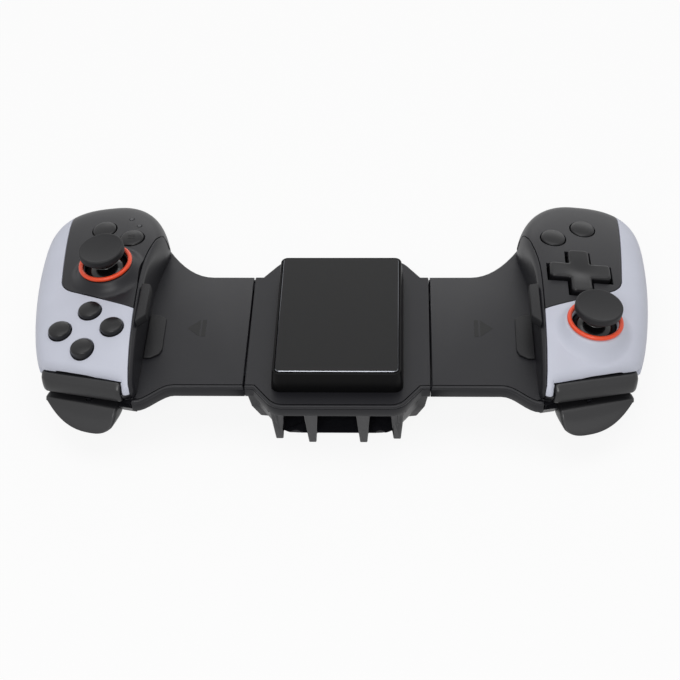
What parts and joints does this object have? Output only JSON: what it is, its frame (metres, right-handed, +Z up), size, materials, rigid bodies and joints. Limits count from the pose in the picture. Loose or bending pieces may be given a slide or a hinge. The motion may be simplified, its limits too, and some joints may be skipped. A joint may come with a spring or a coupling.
{
  "type": "mobile game controller",
  "caption": "telescopic phone game controller with two moulded grips, sprung slides and a fan-cooled plate under the phone",
  "frame": {"origin": "centre of the bounding box on the ground plane under the feet", "axes": "+X to the right grip along the width, +Y from the triggers to the palms, +Z up out of the face"},
  "size_m": [0.2086, 0.0973, 0.0449],
  "materials": {
    "black_keys": "satin moulded",
    "black_rubber": "matte",
    "board": "solder mask",
    "cell": "foil",
    "ceramic": "plain white",
    "cold_plate": "satin, bright cut edge",
    "dark_shell": "fine matte moulded",
    "fins": "plain",
    "gloss_black": "polished",
    "light_pipe": "smoked, unlit",
    "light_shell": "fine matte moulded",
    "mat": "silicone",
    "orange_ring": "satin",
    "steel": "plain"
  },
  "bodies": {
    "centre": {"centre_cover": "dark_shell", "centre_housing": "dark_shell", "cooler_frame": "gloss_black", "cold_plate": "cold_plate", "cooling_tile": "ceramic", "heat_sink": "fins", "fan_frame": "black_keys", "centre_screws": "steel"},
    "fan": {"fan_rotor": "black_keys"},
    "left_half": {"left_wing_frame": "dark_shell", "left_wing_cover": "dark_shell", "left_slide_fork": "steel", "left_return_spring": "steel", "left_light_shell": "light_shell", "left_dark_panel": "dark_shell", "left_back_shell": "dark_shell", "left_phone_hook": "black_rubber", "left_floor_pad": "black_rubber", "left_board": "board", "left_stick_module": "steel", "left_stick_ring": "orange_ring", "left_screws": "steel", "button_mat": "mat", "indicator_lights": "light_pipe"},
    "right_half": {"right_wing_frame": "dark_shell", "right_wing_cover": "dark_shell", "right_slide_fork": "steel", "right_return_spring": "steel", "right_light_shell": "light_shell", "right_dark_panel": "dark_shell", "right_back_shell": "dark_shell", "right_phone_hook": "black_rubber", "right_floor_pad": "black_rubber", "right_board": "board", "right_stick_module": "steel", "right_stick_ring": "orange_ring", "right_screws": "steel", "battery": "cell", "charge_port": "steel"},
    "left_stick_cradle": {"left_stick_cradle": "steel"},
    "left_stick_dome": {"left_stick_dome": "gloss_black"},
    "left_stick_cap": {"left_stick_cap": "black_rubber"},
    "right_stick_cradle": {"right_stick_cradle": "steel"},
    "right_stick_dome": {"right_stick_dome": "gloss_black"},
    "right_stick_cap": {"right_stick_cap": "black_rubber"},
    "face_button_front": {"face_button_front": "black_keys"},
    "face_button_rear": {"face_button_rear": "black_keys"},
    "face_button_inner": {"face_button_inner": "black_keys"},
    "face_button_outer": {"face_button_outer": "black_keys"},
    "left_function_outer": {"left_function_outer": "black_keys"},
    "left_function_inner": {"left_function_inner": "black_keys"},
    "right_function_outer": {"right_function_outer": "black_keys"},
    "right_function_inner": {"right_function_inner": "black_keys"},
    "pad_pivot": {"pad_pivot": "steel"},
    "direction_pad": {"direction_pad": "black_keys"},
    "left_bumper": {"left_bumper": "black_keys"},
    "right_bumper": {"right_bumper": "black_keys"},
    "left_trigger": {"left_trigger": "black_keys"},
    "right_trigger": {"right_trigger": "black_keys"}
  },
  "joints": [
    {"name": "left_half_slide", "type": "slide", "parent": "centre", "child": "left_half", "axis": [-1, 0, 0], "range_m": [0, 0.028], "stiffness_N_per_m": 60, "springref_m": -0.03, "deforming": ["left_return_spring"]},
    {"name": "right_half_slide", "type": "slide", "parent": "centre", "child": "right_half", "axis": [1, 0, 0], "range_m": [0, 0.028], "stiffness_N_per_m": 60, "springref_m": -0.03, "deforming": ["right_return_spring"]},
    {"name": "fan_spin", "type": "hinge", "parent": "centre", "child": "fan", "pos_m": [0, -0.0102, 0.0059], "axis": [0, 0, 1], "continuous": true},
    {"name": "left_stick_tilt_front", "type": "hinge", "parent": "left_half", "child": "left_stick_cradle", "pos_m": [-0.07789, 0.005, 0.0277], "axis": [0.9945, 0, 0.1045], "range_deg": [-15, 15], "stiffness_Nm_per_rad": 0.002},
    {"name": "left_stick_tilt_side", "type": "hinge", "parent": "left_stick_cradle", "child": "left_stick_dome", "pos_m": [-0.07789, 0.005, 0.0277], "axis": [0, -1, 0], "range_deg": [-15, 15], "stiffness_Nm_per_rad": 0.002},
    {"name": "left_stick_click", "type": "slide", "parent": "left_stick_dome", "child": "left_stick_cap", "axis": [0.1045, 0, -0.9945], "range_m": [0, 0.0005], "stiffness_N_per_m": 50, "springref_m": -0.001},
    {"name": "right_stick_tilt_front", "type": "hinge", "parent": "right_half", "child": "right_stick_cradle", "pos_m": [0.08192, -0.0208, 0.02587], "axis": [0.9945, 0, -0.1045], "range_deg": [-15, 15], "stiffness_Nm_per_rad": 0.002},
    {"name": "right_stick_tilt_side", "type": "hinge", "parent": "right_stick_cradle", "child": "right_stick_dome", "pos_m": [0.08192, -0.0208, 0.02587], "axis": [0, 1, 0], "range_deg": [-15, 15], "stiffness_Nm_per_rad": 0.002},
    {"name": "right_stick_click", "type": "slide", "parent": "right_stick_dome", "child": "right_stick_cap", "axis": [-0.1045, 0, -0.9945], "range_m": [0, 0.0005], "stiffness_N_per_m": 50, "springref_m": -0.001},
    {"name": "face_front_press", "type": "slide", "parent": "left_half", "child": "face_button_front", "axis": [0.1045, 0, -0.9945], "range_m": [0, 0.0012], "stiffness_N_per_m": 50, "springref_m": -0.001},
    {"name": "face_rear_press", "type": "slide", "parent": "left_half", "child": "face_button_rear", "axis": [0.1045, 0, -0.9945], "range_m": [0, 0.0012], "stiffness_N_per_m": 50, "springref_m": -0.001},
    {"name": "face_inner_press", "type": "slide", "parent": "left_half", "child": "face_button_inner", "axis": [0.1045, 0, -0.9945], "range_m": [0, 0.0012], "stiffness_N_per_m": 50, "springref_m": -0.001},
    {"name": "face_outer_press", "type": "slide", "parent": "left_half", "child": "face_button_outer", "axis": [0.1045, 0, -0.9945], "range_m": [0, 0.0012], "stiffness_N_per_m": 50, "springref_m": -0.001},
    {"name": "left_function_outer_press", "type": "slide", "parent": "left_half", "child": "left_function_outer", "axis": [0.1045, 0, -0.9945], "range_m": [0, 0.0006], "stiffness_N_per_m": 50, "springref_m": -0.001},
    {"name": "left_function_inner_press", "type": "slide", "parent": "left_half", "child": "left_function_inner", "axis": [0.1045, 0, -0.9945], "range_m": [0, 0.0006], "stiffness_N_per_m": 50, "springref_m": -0.001},
    {"name": "right_function_outer_press", "type": "slide", "parent": "right_half", "child": "right_function_outer", "axis": [-0.1045, 0, -0.9945], "range_m": [0, 0.0006], "stiffness_N_per_m": 50, "springref_m": -0.001},
    {"name": "right_function_inner_press", "type": "slide", "parent": "right_half", "child": "right_function_inner", "axis": [-0.1045, 0, -0.9945], "range_m": [0, 0.0006], "stiffness_N_per_m": 50, "springref_m": -0.001},
    {"name": "pad_rock_front", "type": "hinge", "parent": "right_half", "child": "pad_pivot", "pos_m": [0.07985, 0.0044, 0.03011], "axis": [0.9945, 0, -0.1045], "range_deg": [-5, 5], "stiffness_Nm_per_rad": 0.002},
    {"name": "pad_rock_side", "type": "hinge", "parent": "pad_pivot", "child": "direction_pad", "pos_m": [0.07985, 0.0044, 0.03011], "axis": [0, 1, 0], "range_deg": [-5, 5], "stiffness_Nm_per_rad": 0.002},
    {"name": "left_bumper_press", "type": "hinge", "parent": "left_half", "child": "left_bumper", "pos_m": [-0.07052, -0.03964, 0.01922], "axis": [0.1045, 0, -0.9945], "range_deg": [0, 2.5], "stiffness_Nm_per_rad": 0.004, "springref_deg": -11.46},
    {"name": "left_trigger_pull", "type": "hinge", "parent": "left_half", "child": "left_trigger", "pos_m": [-0.07518, -0.03731, 0.01431], "axis": [0.955, -0.279, 0.1004], "range_deg": [0, 14], "stiffness_Nm_per_rad": 0.002, "springref_deg": -22.92},
    {"name": "right_bumper_press", "type": "hinge", "parent": "right_half", "child": "right_bumper", "pos_m": [0.07052, -0.03964, 0.01922], "axis": [0.1045, 0, 0.9945], "range_deg": [0, 2.5], "stiffness_Nm_per_rad": 0.004, "springref_deg": -11.46},
    {"name": "right_trigger_pull", "type": "hinge", "parent": "right_half", "child": "right_trigger", "pos_m": [0.07518, -0.03731, 0.01431], "axis": [0.955, 0.279, -0.1004], "range_deg": [0, 14], "stiffness_Nm_per_rad": 0.002, "springref_deg": -22.92}
  ]
}
